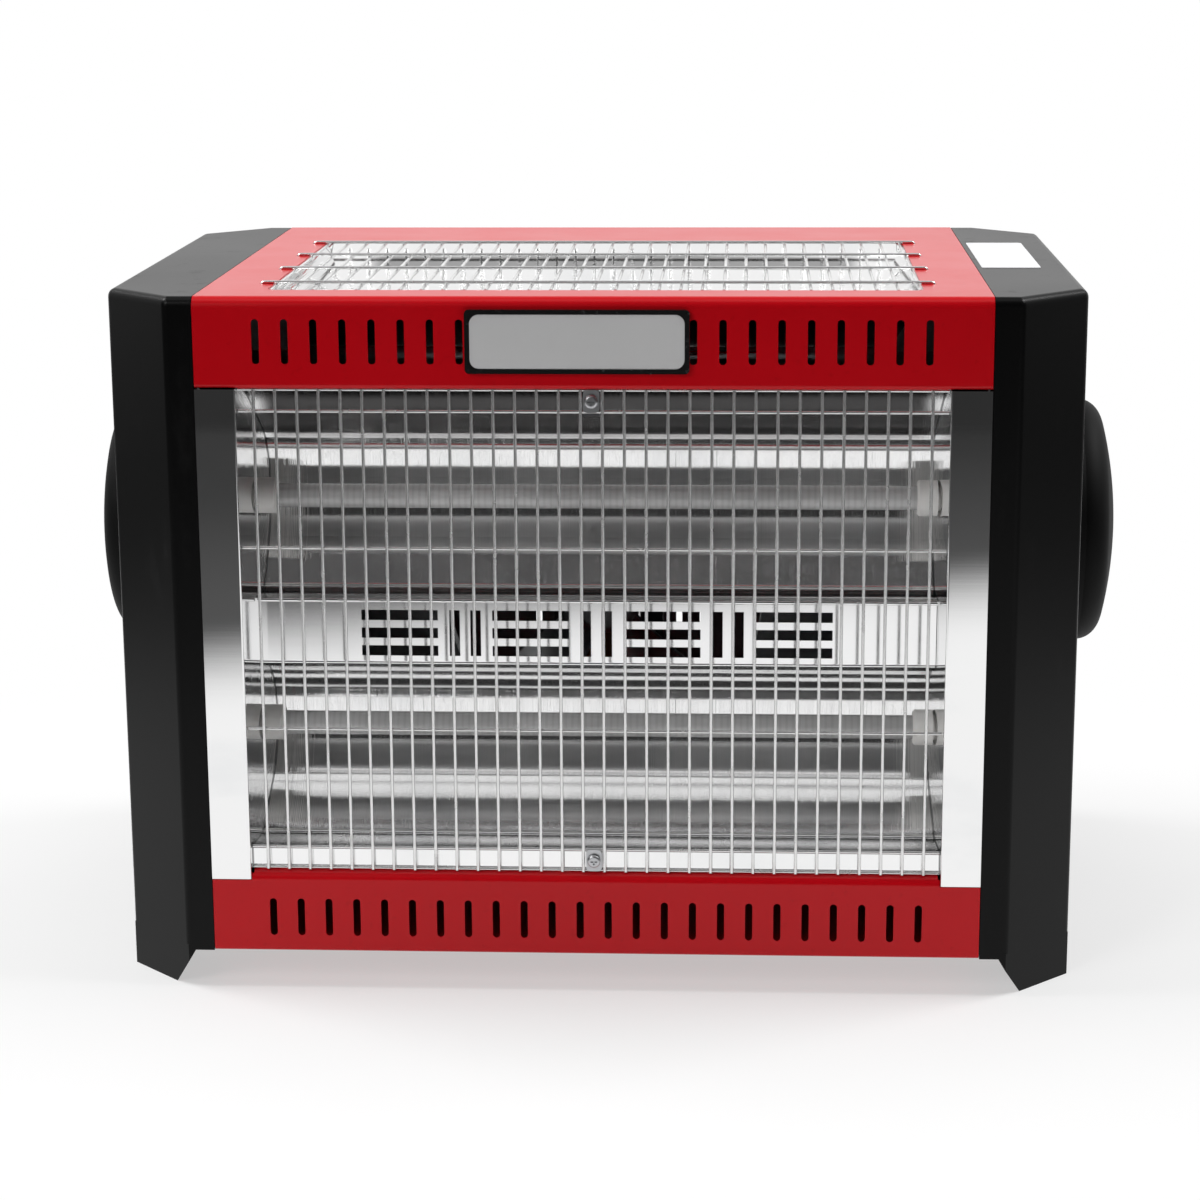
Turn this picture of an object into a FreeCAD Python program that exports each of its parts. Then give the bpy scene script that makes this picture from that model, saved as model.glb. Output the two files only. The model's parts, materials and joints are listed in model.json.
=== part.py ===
import FreeCAD, Part
import math
import os
from FreeCAD import Vector

# casing sizes
WIDTH = 364.0
DEPTH = 304.0
HEIGHT = 332.0
FOOT = 18.6
SHEET = 0.8
BEND = 5.0
EDGE_BEND = 2.0
GAP = 0.3
HOOD_DROP = 42.0
HOOD_RETURN = 14.0
BASE_RISE = 40.5
REAR_DROP = 18.0
SLOTS = 24
SLOT_PITCH = 13.3
SLOT_WIDTH = 3.4
SLOT_END = 1.65
HOOD_SLOT = 20.6
HOOD_SLOT_MID = 20.4
BASE_SLOT = 18.4
BASE_SLOT_MID = 17.2
REAR_COLUMNS = 12
REAR_ROWS = 7
REAR_ROW_PITCH = 26.8
REAR_SLOT_REACH = 86.4
REAR_SCREW_OUT = 154.0
REAR_SCREW_IN = 54.0

# end caps, feet and domes
CAP = 45.0
CAP_STRIP = 12.5
CAP_WALL = 2.6
CAP_ROUND = 4.0
CAP_INNER_ROUND = 1.4
CAP_RIB = 1.8
FOOT_SLOPE = 11.0
FOOT_TOP = 9.0
FOOT_LENGTH = 58.0
FOOT_TAPER = 12.0
DOME_RADIUS = 63.0
DOME_HEIGHT = 28.5
DOME_RISE = 10.0
DOME_EDGE = 9.0
DOME_DRAFT = 2.0
DOME_SHOULDER = 8.1
DOME_BULGE_IN = 2.0
DOME_BULGE_DOWN = 1.45
DOME_SHARE = 0.6024
DOME_WALL = 2.5
DOME_SPIGOT = 3.0
BOSS_RADIUS = 4.5
BOSS_INSET = 40.0
BOSS_RISE = 26.0
BOSS_DROP = 24.0

# polished sheet inside the front
BRIGHT = 0.5
TRIM = 0.6
TRIM_WIDTH = 19.0
TRIM_LAP = 4.5
TRIM_BEND = 1.0
CHEEK_DEPTH = 66.0
CHEEK_FLARE = 4.0
PLATE = 1.0
PLATE_INSET = 1.5
TROUGH_DEPTH = 66.0
TROUGH_FRONT = 9.0
TROUGH_SEAT = 6.0
TROUGH_BEND = 2.0
ROUND_SHARE = 0.4
FLOOR_SHARE = 0.434
FLOOR_BEND = 8.0
UPPER_SLOPE_SHARE = 0.343
UPPER_RISE_SHARE = 0.305
UPPER_FLOOR = 46.0
UPPER_LIP = 28.0
VENT_BAND = 32.5
LEDGE = 10.5
LOWER_SHARE = 0.4412
VENT_FRONT = 34.0
VENT_FLANGE = 8.0
LOWER_SLOPE_SHARE = 0.169
LOWER_RISE_SHARE = 0.35
LOWER_FLOOR = 26.0
VENT_GROUPS = 4
VENT_ROWS = 3
VENT_PERIOD = 62.5
VENT_GROUP = 36.5
VENT_BAR = 5.0
VENT_TALL = 22.4
VENT_BAR_GAP = 3.7
VENT_LIFT = 14.7

# top opening and trough
OPEN_HALF = 151.5
OPEN_FRONT = 26.0
OPEN_BACK = 230.0
OPEN_ROUND = 5.0
TOP_FLANGE = 5.0
TOP_TROUGH = 38.0
TOP_SLANT = 37.0
TOP_END_SLANT = 18.0
TOP_ROUND = 30.0

# wire grilles
WIRE = 1.5
WIRE_PITCH = 10.0
GRILLE_FACE = 1.2
WIRE_MARGIN = 1.5
TOP_LONG = 4
TOP_LONG_FIRST = 24.0
TOP_LONG_LAST = 9.0
TOP_LONG_REACH = 6.0
TOP_WIRE_DROP = 6.0
BAR_STEP = 10.1
BAR_HIGH_LIFT = 30.0
BAR_LOW_DROP = 24.5
CLIP_WIDTH = 7.4
CLIP_HEIGHT = 13.0
CLIP_MARGIN = 1.2

# heating elements
TUBE = 11.5
TUBE_BORE = 8.6
TUBE_DEPTH = 38.0
UPPER_TUBE_LIFT = 48.0
LOWER_TUBE_DROP = 31.0
TOP_TUBE_DROP = 21.0
CERAMIC = 17.0
CERAMIC_LENGTH = 9.5
CERAMIC_NECK = 12.0
CERAMIC_TAIL = 8.0
CERAMIC_EDGE = 1.0
TOP_TAIL = 20.0
TUBE_SEAT = 5.0
COIL = 5.0
PIN = 2.0
PIN_TAIL = 6.0
NUT = 5.5
NUT_HEIGHT = 2.4
FIT = 0.05

# fan
FAN_LIFT = 15.5
SHROUD_GAP = 46.0
SHROUD_RADIUS = 80.0
SHROUD_COLLAR = 12.0
IMPELLER_RADIUS = 76.0
HUB_RADIUS = 19.0
HUB_LENGTH = 22.0
BLADES = 5
BLADE_THICK = 1.6
BLADE_ROOT = 15.2
BLADE_STEPS = 4
BLADE_CAMBER = 0.09
BLADE_ROOT_CHORD = 24.0
BLADE_TIP_CHORD = 46.0
BLADE_ROOT_ANGLE = 52.0
BLADE_TIP_ANGLE = 24.0
SHAFT = 4.0
STRAP_GAP = 34.0
STRAP_HALF = 96.0
STRAP_WIDTH = 24.0
STRAP = 1.5
STRAP_FOOT = 14.0
STATOR_HALF = 28.0
STATOR_STACK = 16.0
STATOR_ABOVE = 18.0
STATOR_BELOW = 42.0
STATOR_LEG = 12.0
WINDOW_HALF = 18.0
WINDOW_TOP = 15.5
ROTOR = 20.4
AIR_GAP = 0.4
COIL_HALF = 15.5
COIL_WALL = 9.0
BEARING_STAND = 9.0
BEARING_PLATE = 2.0
BEARING_BOSS = 6.0
BEARING_HEIGHT = 14.0
MOTOR_SCREW_X = 23.0

# rocker switches
SWITCHES = 4
SWITCH_PITCH = 22.5
BEZEL_LONG = 29.0
BEZEL_WIDE = 17.0
BEZEL_RISE = 2.0
BODY_LONG = 25.4
BODY_WIDE = 13.4
BODY_DEEP = 20.0
ROCKER_RADIUS = 11.4
ROCKER_WIDE = 10.0
ROCKER_SINK = 2.0
ROCKER_CROWN = 26.0
ROCKER_DIP = 3.0
ROCKER_TILT = 8.0
PIVOT = 1.0
PIVOT_RISE = 0.4
POCKET_FLOOR = 16.0
POCKET_LONG = 36.0
POCKET_TALL = 92.0
POCKET_ROUND = 6.0
SPADE = 6.3
SPADE_LONG = 8.0

# badge, sticker, gland and small electrics
BADGE_WIDTH = 102.0
BADGE_HEIGHT = 29.2
BADGE_X = -6.2
BADGE_DROP = 20.0
BADGE_THICK = 2.2
BADGE_BORDER = 2.1
BADGE_ROUND = 2.0
FACE_ROUND = 4.5
FACE_THICK = 1.4
FACE_SINK = 0.3
STICKER_IN = 2.5
STICKER_WIDTH = 28.5
STICKER_FRONT = 113.0
STICKER_LENGTH = 110.0
STICKER_THICK = 0.2
GLAND_X = 128.0
GLAND_RISE = 32.0
GLAND_BORE = 7.5
GLAND_BARREL = 12.0
GLAND_FLANGE = 17.0
GLAND_DEEP = 12.0
BLOCK_LONG = 34.0
BLOCK_WIDE = 20.0
BLOCK_TALL = 15.0
BLOCK_POLES = 3
BLOCK_WIRE_HOLE = 5.6
BLOCK_SCREW_HOLE = 5.0
BLOCK_NOTCH = 6.0
CUTOUT_RADIUS = 8.0
CUTOUT_TALL = 9.0
CUTOUT_X = 62.0

# screws
HEAD = 6.4
HEAD_RISE = 2.2
HEAD_ROUND = 1.3
RECESS_ARM = 3.1
RECESS_SLOT = 0.7
RECESS_DEEP = 1.1
SHANK = 3.0
CAP_SCREW = 18.0

HALF = WIDTH / 2
FRONT = -DEPTH / 2
BACK = DEPTH / 2
HOOD_EDGE = HEIGHT - HOOD_DROP
BASE_TOP = FOOT + BASE_RISE
SIDE = HALF + CAP
INNER = HALF - TRIM_WIDTH
PLATE_IN = HALF - PLATE_INSET - PLATE
WIRE_R = WIRE / 2
GRILLE_BACK = GRILLE_FACE + 2 * WIRE
VENT_BACK = VENT_FRONT + VENT_FLANGE
TUBE_Y = FRONT + TUBE_DEPTH
TOP_TUBE_Y = FRONT + (OPEN_FRONT + OPEN_BACK) / 2
TOP_UNDER = HEIGHT - SHEET
TRIM_LOW = BASE_TOP - TRIM_LAP
LOWER_EDGE_Z = BASE_TOP + LEDGE
LOWER_TOP_Z = LOWER_EDGE_Z + (HOOD_EDGE - LOWER_EDGE_Z - VENT_BAND) * LOWER_SHARE
UPPER_LIP_Z = LOWER_TOP_Z + VENT_BAND
UPPER_TALL = HOOD_EDGE - UPPER_LIP_Z
LOWER_TALL = LOWER_TOP_Z - LOWER_EDGE_Z
TROUGH_ROUND = LOWER_TALL * ROUND_SHARE
FLOOR_ROUND = LOWER_TALL * FLOOR_SHARE
VENT_MID = LOWER_TOP_Z + VENT_LIFT
BAR_HIGH_Z = UPPER_LIP_Z + BAR_HIGH_LIFT
BAR_LOW_Z = LOWER_TOP_Z - BAR_LOW_DROP
UPPER_TUBE_Z = UPPER_LIP_Z + UPPER_TUBE_LIFT
LOWER_TUBE_Z = LOWER_TOP_Z - LOWER_TUBE_DROP
TOP_TUBE_Z = HEIGHT - TOP_TUBE_DROP
FRONT_WIRES = int(2 * (INNER - WIRE_MARGIN) / WIRE_PITCH)
TOP_WIRES = 2 * int((OPEN_HALF - WIRE_MARGIN) / WIRE_PITCH) + 1
TOP_LONG_HALF = OPEN_HALF + TOP_LONG_REACH
TOP_LONG_PITCH = (OPEN_BACK - OPEN_FRONT - TOP_LONG_FIRST - TOP_LONG_LAST) / (TOP_LONG - 1)
FAN_Z = LOWER_TOP_Z + FAN_LIFT
SHROUD_DEPTH = TROUGH_DEPTH + SHROUD_GAP
STRAP_DEPTH = SHROUD_DEPTH + STRAP_GAP
DOME_MID = HEIGHT * DOME_SHARE
BADGE_Z = HEIGHT - BADGE_DROP
GLAND_Z = FOOT + GLAND_RISE
X_AXIS = Vector(1, 0, 0)
Y_AXIS = Vector(0, 1, 0)
Z_AXIS = Vector(0, 0, 1)


def unit(a, b):
    length = math.hypot(b[0] - a[0], b[1] - a[1])
    return ((b[0] - a[0]) / length, (b[1] - a[1]) / length)


def rounded_wire(points, radii, place):
    edges = []
    ends = []
    count = len(points)
    for i, p in enumerate(points):
        r = radii[i]
        if r <= 0:
            ends.append((p, p, None))
            continue
        a = unit(p, points[i - 1])
        b = unit(p, points[(i + 1) % count])
        half = math.acos(max(-1.0, min(1.0, a[0] * b[0] + a[1] * b[1]))) / 2
        run = r / math.tan(half)
        way = unit((0, 0), (a[0] + b[0], a[1] + b[1]))
        reach = r / math.sin(half) - r
        mid = (p[0] + way[0] * reach, p[1] + way[1] * reach)
        start = (p[0] + a[0] * run, p[1] + a[1] * run)
        end = (p[0] + b[0] * run, p[1] + b[1] * run)
        ends.append((start, end, mid))
    for i, (start, end, mid) in enumerate(ends):
        if mid:
            edges.append(Part.Arc(place(start), place(mid), place(end)).toShape())
        follow = ends[(i + 1) % count][0]
        if math.hypot(follow[0] - end[0], follow[1] - end[1]) > 1e-6:
            edges.append(Part.makeLine(place(end), place(follow)))
    return Part.Wire(edges)


def on_yz(x):
    return lambda p: Vector(x, p[0], p[1])


def on_xy(z):
    return lambda p: Vector(p[0], p[1], z)


def on_xz(y):
    return lambda p: Vector(p[0], y, p[1])


def prism(points, radii, place, way):
    if not isinstance(radii, (list, tuple)):
        radii = [radii] * len(points)
    return Part.Face(rounded_wire(points, radii, place)).extrude(way)


def rect(u0, v0, u1, v1):
    return [(u0, v0), (u1, v0), (u1, v1), (u0, v1)]


def box(x0, y0, z0, x1, y1, z1):
    return Part.makeBox(x1 - x0, y1 - y0, z1 - z0, Vector(x0, y0, z0))


def rod(start, way, radius, length):
    return Part.makeCylinder(radius, length, start, way)


def tube(start, way, radius, bore, length):
    return rod(start, way, radius, length).cut(rod(start, way, bore, length))


def shift_line(points, offset):
    lines = []
    for a, b in zip(points, points[1:]):
        d = unit(a, b)
        n = (-d[1] * offset, d[0] * offset)
        lines.append(((a[0] + n[0], a[1] + n[1]), d, (b[0] + n[0], b[1] + n[1])))
    out = [lines[0][0]]
    for (p, d, _), (q, e, _) in zip(lines, lines[1:]):
        t = ((q[0] - p[0]) * e[1] - (q[1] - p[1]) * e[0]) / (d[0] * e[1] - d[1] * e[0])
        out.append((p[0] + d[0] * t, p[1] + d[1] * t))
    out.append(lines[-1][2])
    return out


def bent_sheet(points, bends, thick, place, way):
    # outer line of a folded sheet; thickness goes to the left when positive
    inner = shift_line(points, thick)
    outer_r = [0.0]
    inner_r = [0.0]
    for i in range(1, len(points) - 1):
        a = unit(points[i - 1], points[i])
        b = unit(points[i], points[i + 1])
        turn = (a[0] * b[1] - a[1] * b[0]) * thick
        outer_r.append(bends[i - 1])
        inner_r.append(bends[i - 1] + (-abs(thick) if turn > 0 else abs(thick)))
    outer_r.append(0.0)
    inner_r.append(0.0)
    return prism(points + inner[::-1], outer_r + inner_r[::-1], place, way)


def mirror_x(shape):
    return shape.mirror(Vector(0, 0, 0), X_AXIS)


def mirror_y(shape):
    return shape.mirror(Vector(0, 0, 0), Y_AXIS)


def group(shapes):
    return Part.makeCompound(shapes)


def slot(x, z, tall, y, deep):
    w = SLOT_WIDTH / 2
    outline = rect(x - w, z - tall / 2, x + w, z + tall / 2)
    return prism(outline, SLOT_END, on_xz(y), Y_AXIS * deep)


def slot_row(z, tall, y, deep):
    first = -(SLOTS - 1) / 2
    return [slot((first + i) * SLOT_PITCH, z, tall, y, deep) for i in range(SLOTS)]


def cross_recess(centre, way):
    arm = RECESS_ARM
    thin = RECESS_SLOT
    side = Y_AXIS if way.x else X_AXIS
    other = way.cross(side)
    cuts = []
    for u, v in ((side, other), (other, side)):
        p = centre - u * (arm / 2) - v * (thin / 2)
        wire = Part.makePolygon([p, p + u * arm, p + u * arm + v * thin, p + v * thin, p])
        cuts.append(Part.Face(wire).extrude(way * RECESS_DEEP))
    return cuts


def screw(seat, way, length):
    # head seat point, driving direction, shank length under the head
    crown = seat - way * HEAD_RISE
    top = rod(crown, way, HEAD / 2, HEAD_RISE)
    rim = [e for e in top.Edges if e.Length > HEAD and (e.CenterOfMass - seat).Length > HEAD_ROUND]
    top = top.makeFillet(HEAD_ROUND, rim)
    top = top.cut(cross_recess(crown, way))
    return top.fuse(rod(seat, way, SHANK / 2, length))


def hood():
    line = [
        (FRONT + HOOD_RETURN, HOOD_EDGE),
        (FRONT, HOOD_EDGE),
        (FRONT, HEIGHT),
        (BACK, HEIGHT),
        (BACK, HEIGHT - REAR_DROP),
    ]
    end = HALF - GAP
    skin = bent_sheet(
        line, [EDGE_BEND, BEND, EDGE_BEND], -SHEET, on_yz(-end), X_AXIS * (2 * end)
    )
    opening = prism(
        rect(-OPEN_HALF, FRONT + OPEN_FRONT, OPEN_HALF, FRONT + OPEN_BACK),
        OPEN_ROUND, on_xy(HEIGHT - 2 * SHEET), Z_AXIS * (4 * SHEET),
    )
    cuts = [opening]
    cuts += slot_row(HEIGHT - HOOD_SLOT_MID, HOOD_SLOT, FRONT - SHEET, 3 * SHEET)
    for y in top_long_rows():
        for x in (-TOP_LONG_HALF, TOP_LONG_HALF):
            cuts.append(rod(Vector(x, y, HEIGHT - 2 * SHEET), Z_AXIS, WIRE_R + GAP, 4 * SHEET))
    for s in (-1, 1):
        x0, x1 = sorted((s * (INNER - GAP), s * HALF))
        cuts.append(
            box(x0, FRONT + SHEET + GAP, HOOD_EDGE - SHEET, x1, FRONT + 2 * HOOD_RETURN,
                HOOD_EDGE + 2 * SHEET)
        )
    for x in rear_screw_rows():
        cuts.append(rod(Vector(x, BACK - 2 * SHEET, rear_high()), Y_AXIS, SHANK / 2 + FIT, 4 * SHEET))
    skin = skin.cut(cuts)
    tab = box(-CLIP_WIDTH / 2, FRONT + GRILLE_BACK, HOOD_EDGE - CLIP_HEIGHT,
              CLIP_WIDTH / 2, FRONT + GRILLE_BACK + SHEET, HOOD_EDGE + SHEET / 2)
    tab = tab.cut(rod(Vector(0, FRONT, clip_rows()[1]), Y_AXIS, SHANK / 2 + FIT, HOOD_RETURN))
    return skin.fuse(tab).removeSplitter()


def rear_high():
    return HEIGHT - REAR_DROP / 2 - SHEET


def rear_low():
    return FOOT + REAR_DROP / 2 + SHEET


def rear_screw_rows():
    return [-REAR_SCREW_OUT, -REAR_SCREW_IN, REAR_SCREW_IN, REAR_SCREW_OUT]


def base_pan():
    line = [
        (FRONT + HOOD_RETURN, BASE_TOP),
        (FRONT, BASE_TOP),
        (FRONT, FOOT),
        (BACK, FOOT),
        (BACK, FOOT + REAR_DROP),
    ]
    end = HALF - GAP
    skin = bent_sheet(
        line, [BEND, EDGE_BEND, EDGE_BEND], SHEET, on_yz(-end), X_AXIS * (2 * end)
    )
    cuts = slot_row(FOOT + BASE_SLOT_MID, BASE_SLOT, FRONT - SHEET, 3 * SHEET)
    flared = INNER - CHEEK_FLARE * HOOD_RETURN / CHEEK_DEPTH - GAP
    for s in (-1, 1):
        x0, x1 = sorted((s * flared, s * HALF))
        cuts.append(
            box(x0, FRONT + SHEET + GAP, TRIM_LOW - EDGE_BEND, x1, FRONT + 2 * HOOD_RETURN,
                BASE_TOP + SHEET)
        )
        x0, x1 = sorted((s * (INNER - GAP), s * HALF))
        cuts.append(
            box(x0, FRONT - SHEET, BASE_TOP - BEND, x1, FRONT + 2 * HOOD_RETURN,
                BASE_TOP + SHEET)
        )
    for x in rear_screw_rows():
        cuts.append(rod(Vector(x, BACK - 2 * SHEET, rear_low()), Y_AXIS, SHANK / 2 + FIT, 4 * SHEET))
    return skin.cut(cuts).removeSplitter()


def rear_panel():
    y = BACK - 2 * SHEET
    end = PLATE_IN + PLATE
    low = FOOT + SHEET + EDGE_BEND
    high = HEIGHT - SHEET - EDGE_BEND
    panel = box(-end, y, low, end, y + SHEET, high)
    cuts = []
    for column in range(REAR_COLUMNS):
        x = (column - (REAR_COLUMNS - 1) / 2) * SLOT_PITCH
        for row in range(REAR_ROWS):
            rise = (row - (REAR_ROWS - 1) / 2) * REAR_ROW_PITCH
            if math.hypot(abs(x) + SLOT_WIDTH, abs(rise) + HOOD_SLOT / 2) < REAR_SLOT_REACH:
                cuts.append(slot(x, FAN_Z + rise, HOOD_SLOT, y - SHEET, 3 * SHEET))
    for x in rear_screw_rows():
        for z in (rear_low(), rear_high()):
            cuts.append(rod(Vector(x, y - SHEET, z), Y_AXIS, SHANK / 2 + FIT, 3 * SHEET))
    cuts.append(rod(Vector(GLAND_X, y - SHEET, GLAND_Z), Y_AXIS, GLAND_BARREL / 2 + FIT, 3 * SHEET))
    return panel.cut(cuts)


def rear_screws():
    screws = []
    for x in rear_screw_rows():
        for z in (rear_low(), rear_high()):
            screws.append(screw(Vector(x, BACK, z), -Y_AXIS, 4 * SHANK))
    return group(screws)


def boss_spots():
    y = BACK - BOSS_INSET
    return [(s * y, z) for s in (-1, 1) for z in (FOOT + BOSS_RISE, HEIGHT - BOSS_DROP)]


def chassis_plate():
    low = FOOT + SHEET + GAP
    high = HEIGHT - SHEET - GAP
    y0 = FRONT + SHEET + GAP
    y1 = BACK - 2 * SHEET
    plate = prism(rect(y0, low, y1, high), [EDGE_BEND, EDGE_BEND, EDGE_BEND, BEND],
                  on_yz(PLATE_IN), X_AXIS * PLATE)
    cuts = []
    for z in (UPPER_TUBE_Z, LOWER_TUBE_Z):
        cuts.append(rod(Vector(PLATE_IN - PLATE, TUBE_Y, z), X_AXIS, CERAMIC / 2, 3 * PLATE))
    lead = Vector(PLATE_IN - PLATE, TOP_TUBE_Y, TOP_TUBE_Z - CERAMIC)
    cuts.append(rod(lead, X_AXIS, CERAMIC / 2, 3 * PLATE))
    cuts.append(rod(Vector(PLATE_IN - PLATE, BACK / 2, FAN_Z), X_AXIS, CERAMIC, 3 * PLATE))
    for y, z in boss_spots():
        cuts.append(rod(Vector(PLATE_IN - PLATE, y, z), X_AXIS, SHANK / 2 + FIT, 3 * PLATE))
    return plate.cut(cuts)


def cap_plan(inset):
    s = inset * math.tan(math.pi / 8)
    x1 = SIDE - inset
    y0 = FRONT + inset
    y1 = BACK - inset
    bend = HALF + CAP_STRIP - s
    step = x1 - bend
    return [
        (HALF, y0),
        (bend, y0),
        (x1, y0 + step),
        (x1, y1 - step),
        (bend, y1),
        (HALF, y1),
    ]


def cap_foot():
    plan = prism(cap_plan(0), 0, on_xy(0), Z_AXIS * (FOOT + CAP_WALL))
    lean = FOOT_SLOPE / FOOT
    rise = FOOT + CAP_WALL
    x0 = HALF + FOOT_TOP
    across = prism(
        [(x0 + FOOT_SLOPE, 0), (SIDE, 0), (SIDE, rise), (x0 - lean * CAP_WALL, rise)],
        0, on_xz(FRONT), Y_AXIS * DEPTH,
    )
    back = FRONT + FOOT_LENGTH
    along = prism(
        [(FRONT, 0), (back - FOOT_TAPER, 0), (back, FOOT), (back, rise), (FRONT, rise)],
        0, on_yz(HALF), X_AXIS * CAP,
    )
    return plan.common(across).common(along)


def end_cap():
    body = prism(cap_plan(0), [0, CAP_ROUND, CAP_ROUND, CAP_ROUND, CAP_ROUND, 0],
                 on_xy(FOOT), Z_AXIS * (HEIGHT - FOOT))
    rims = []
    for e in body.Edges:
        b = e.BoundBox
        if b.ZMin > HEIGHT - 0.01 and b.XMax > HALF + 0.01:
            rims.append(e)
    body = body.makeFillet(CAP_ROUND, rims)
    inner = CAP_INNER_ROUND
    void = prism(cap_plan(CAP_WALL), [0, inner, inner, inner, inner, 0],
                 on_xy(FOOT + CAP_WALL), Z_AXIS * (HEIGHT - FOOT - 2 * CAP_WALL))
    body = body.cut(void)
    foot = cap_foot()
    body = body.fuse([foot, mirror_y(foot)])
    bosses = []
    bores = []
    start = PLATE_IN + PLATE
    for y, z in boss_spots():
        seat = Vector(start, y, z)
        bosses.append(rod(seat, X_AXIS, BOSS_RADIUS, SIDE - CAP_WALL / 2 - start))
        web = CAP_RIB / 2
        bosses.append(box(HALF + CAP_WALL, y - web, FOOT + CAP_WALL / 2 if z < DOME_MID else z,
                          SIDE - CAP_WALL / 2, y + web, z if z < DOME_MID else HEIGHT - CAP_WALL / 2))
        bores.append(rod(seat, X_AXIS, SHANK / 2 + FIT, CAP_SCREW))
    hole = rod(Vector(SIDE - 2 * CAP_WALL, 0, DOME_MID), X_AXIS, dome_hole(), 3 * CAP_WALL)
    return body.fuse(bosses).cut(bores + [hole]).removeSplitter()


def dome_hole():
    return DOME_RADIUS - 3 * DOME_WALL


def dome_outline(inset):
    # half section of the round cover: radius against height above the cap side
    r = DOME_RADIUS - inset
    top = DOME_HEIGHT - inset
    rim = DOME_HEIGHT - DOME_RISE - inset
    sphere = (DOME_RADIUS ** 2 + DOME_RISE ** 2) / (2 * DOME_RISE) - inset
    edge = r - DOME_DRAFT
    low = rim - DOME_EDGE
    r_in = edge - DOME_SHOULDER
    h_in = top - sphere + math.sqrt(sphere ** 2 - r_in ** 2)
    h_mid = top - sphere + math.sqrt(sphere ** 2 - (r_in / 2) ** 2)
    bulge = (edge - DOME_BULGE_IN, rim - DOME_BULGE_DOWN)
    return r, edge, low, bulge, (r_in, h_in), (r_in / 2, h_mid), top


def dome_solid(inset, floor):
    r, edge, low, bulge, shoulder, crown, top = dome_outline(inset)

    def at(p):
        return Vector(SIDE + p[1], p[0], DOME_MID)

    edges = [
        Part.makeLine(at((0, floor)), at((r, floor))),
        Part.makeLine(at((r, floor)), at((edge, low))),
        Part.Arc(at((edge, low)), at(bulge), at(shoulder)).toShape(),
        Part.Arc(at(shoulder), at(crown), at((0, top))).toShape(),
        Part.makeLine(at((0, top)), at((0, floor))),
    ]
    return Part.Face(Part.Wire(edges)).revolve(Vector(0, 0, DOME_MID), X_AXIS, 360)


def dome():
    shell = dome_solid(0, 0).cut(dome_solid(DOME_WALL, -DOME_WALL))
    outer = dome_hole() - GAP
    inner = outer - DOME_WALL
    seat = Vector(SIDE, 0, DOME_MID)
    spigot = tube(seat - X_AXIS * DOME_SPIGOT, X_AXIS, outer, inner, 2 * DOME_SPIGOT)
    web = tube(seat, X_AXIS, DOME_RADIUS - DOME_WALL / 2, inner, DOME_SPIGOT)
    return shell.fuse([spigot, web]).removeSplitter()


def pocket_box(grow, floor, high):
    y = POCKET_LONG / 2 + grow
    z = POCKET_TALL / 2 + grow
    return prism(
        rect(-y, DOME_MID - z, y, DOME_MID + z), POCKET_ROUND + grow,
        on_yz(SIDE + floor), X_AXIS * (high - floor),
    )


def switch_rows():
    first = DOME_MID + (SWITCHES - 1) / 2 * SWITCH_PITCH
    return [first - i * SWITCH_PITCH for i in range(SWITCHES)]


def switch_dome():
    cup = pocket_box(DOME_WALL, POCKET_FLOOR - DOME_WALL, DOME_HEIGHT).common(dome_solid(0, 0))
    shape = dome().fuse(cup).cut(pocket_box(0, POCKET_FLOOR, DOME_HEIGHT + DOME_WALL))
    y = BODY_LONG / 2 + GAP / 2
    w = BODY_WIDE / 2 + GAP / 2
    cuts = []
    for z in switch_rows():
        cuts.append(box(SIDE + POCKET_FLOOR - 2 * DOME_WALL, -y, z - w,
                        SIDE + POCKET_FLOOR + DOME_WALL, y, z + w))
    return shape.cut(cuts).removeSplitter()


def switch_body(z):
    face = SIDE + POCKET_FLOOR
    bezel = prism(
        rect(-BEZEL_LONG / 2, z - BEZEL_WIDE / 2, BEZEL_LONG / 2, z + BEZEL_WIDE / 2),
        EDGE_BEND, on_yz(face), X_AXIS * BEZEL_RISE,
    )
    body = box(face - BODY_DEEP, -BODY_LONG / 2, z - BODY_WIDE / 2,
               face, BODY_LONG / 2, z + BODY_WIDE / 2)
    mouth_y = ROCKER_RADIUS + GAP
    mouth_z = ROCKER_WIDE / 2 + GAP
    deep = ROCKER_RADIUS * math.sin(math.radians(ROCKER_TILT)) + ROCKER_SINK + 2 * GAP
    mouth = box(face + PIVOT_RISE - deep, -mouth_y, z - mouth_z,
                face + 2 * BEZEL_RISE, mouth_y, z + mouth_z)
    reach = mouth_z + PIVOT
    socket = rod(Vector(face + PIVOT_RISE, 0, z - reach), Z_AXIS, PIVOT + FIT, 2 * reach)
    tabs = []
    for y in (-BODY_LONG / 4, BODY_LONG / 4):
        tabs.append(box(face - BODY_DEEP - SPADE_LONG, y - SHEET / 2, z - SPADE / 2,
                        face - BODY_DEEP + SHEET, y + SHEET / 2, z + SPADE / 2))
    return bezel.fuse([body] + tabs).cut([mouth, socket]).removeSplitter()


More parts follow.
